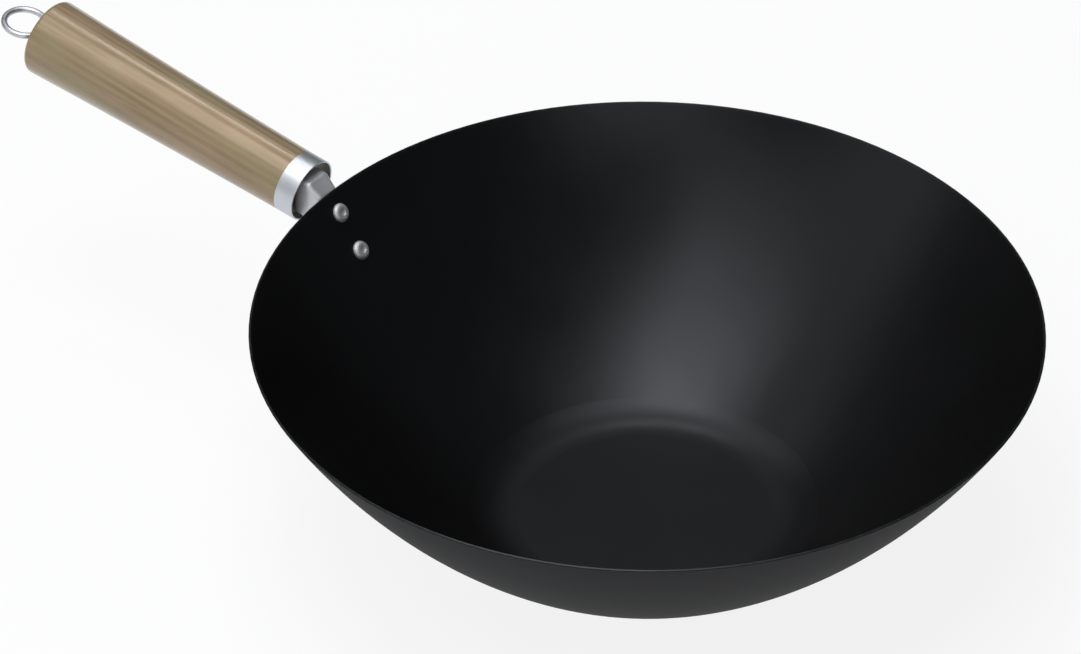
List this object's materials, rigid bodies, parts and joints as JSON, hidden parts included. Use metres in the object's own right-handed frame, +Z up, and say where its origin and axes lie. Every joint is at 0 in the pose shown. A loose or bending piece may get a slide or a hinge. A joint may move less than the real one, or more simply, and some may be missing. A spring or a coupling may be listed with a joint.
{
  "type": "wok",
  "caption": "Round flat-bottomed steel bowl for stir-frying over a hob, with a turned wooden side handle on a riveted bracket and a wire eye to hang it by.",
  "frame": {"origin": "centre of the flat base's underside", "axes": "+Z up out of the bowl, +X from the bowl towards the handle, Y across"},
  "size_m": [0.538, 0.3496, 0.1505],
  "materials": {
    "coated_carbon_steel": "satin black baked coating",
    "plated_steel": "satin plating",
    "rivet_steel": "tumbled, slightly dull",
    "handle_wood": "turned, clear satin lacquer"
  },
  "bodies": {
    "root": {"bowl": "coated_carbon_steel", "handle_bracket": "plated_steel", "upper_rivet": "rivet_steel", "lower_rivet": "rivet_steel", "ferrule": "plated_steel", "wooden_grip": "handle_wood", "tie_rod": "plated_steel", "tie_rod_nut": "plated_steel", "spring_washer": "plated_steel"}
  },
  "joints": []
}
